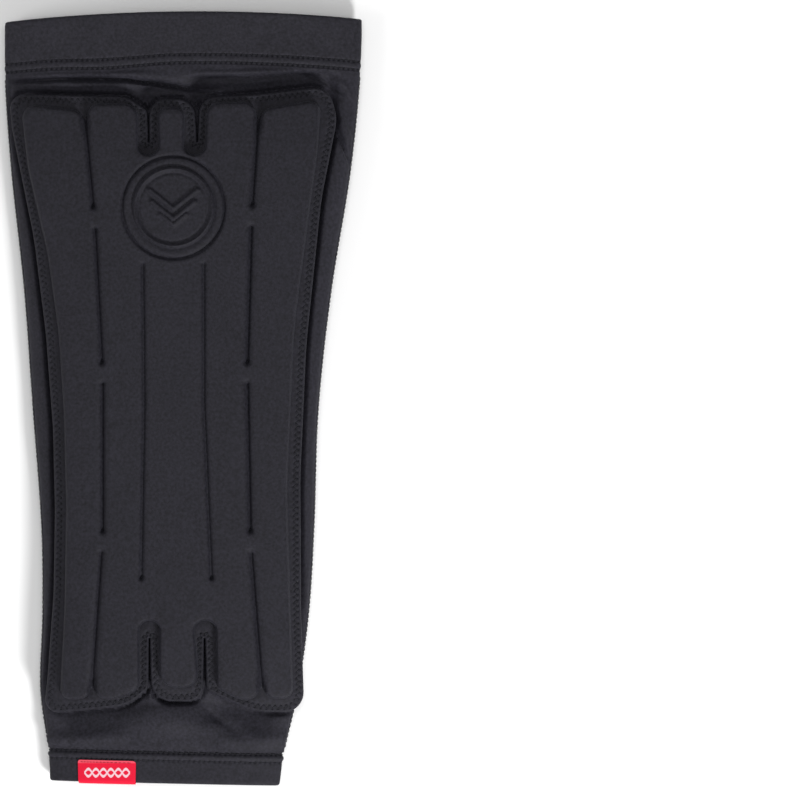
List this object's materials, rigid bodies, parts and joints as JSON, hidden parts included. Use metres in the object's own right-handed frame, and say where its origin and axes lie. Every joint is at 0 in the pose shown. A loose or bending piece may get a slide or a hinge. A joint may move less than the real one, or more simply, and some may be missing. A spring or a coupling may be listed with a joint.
{
  "type": "shin guard",
  "caption": "Pull-on shin guard: a tapered stretch-knit sleeve with a moulded, grooved foam pad sewn to its front, elastic hems and a small label at the ankle end.",
  "frame": {"origin": "on the plane the sleeve lies on, under the pad's centre line, half way up the sleeve", "axes": "+X to the right seen from the pad's side, +Y towards the knee end, +Z out of the pad"},
  "size_m": [0.1671, 0.3607, 0.0289],
  "materials": {
    "sleeve_knit": "fine black stretch knit",
    "cuff_knit": "smooth doubled black knit",
    "pad_knit": "black knit moulded over foam",
    "lining_cloth": "matt backing cloth",
    "foam": "closed-cell foam",
    "thread": "polyester thread",
    "elastic": "ribbed elastic band",
    "silicone": "soft satin silicone",
    "label_red": "woven satin label"
  },
  "bodies": {
    "back": {"back_panel": "sleeve_knit", "bottom_elastic_back": "elastic", "bottom_hem_back": "sleeve_knit", "bottom_inner_stitch_row_back": "thread", "bottom_outer_stitch_row_back": "thread", "grip_strip_back": "silicone", "left_side_seam": "sleeve_knit", "right_side_seam": "sleeve_knit", "top_elastic_back": "elastic", "top_hem_back": "cuff_knit", "top_inner_stitch_row_back": "thread", "top_outer_stitch_row_back": "thread"},
    "front": {"bottom_elastic_front": "elastic", "bottom_hem_front": "sleeve_knit", "bottom_inner_stitch_row_front": "thread", "bottom_outer_stitch_row_front": "thread", "front_panel": "sleeve_knit", "grip_strip_front": "silicone", "hem_label": "label_red", "label_stitching": "thread", "pad_core": "foam", "pad_cover": "pad_knit", "pad_lining": "lining_cloth", "pad_stitching": "thread", "top_elastic_front": "elastic", "top_hem_front": "cuff_knit", "top_inner_stitch_row_front": "thread", "top_outer_stitch_row_front": "thread"}
  },
  "joints": [
    {"name": "sleeve_opening", "type": "slide", "parent": "back", "child": "front", "axis": [0, 0, 1], "range_m": [0, 0.06], "stiffness_N_per_m": 250}
  ]
}
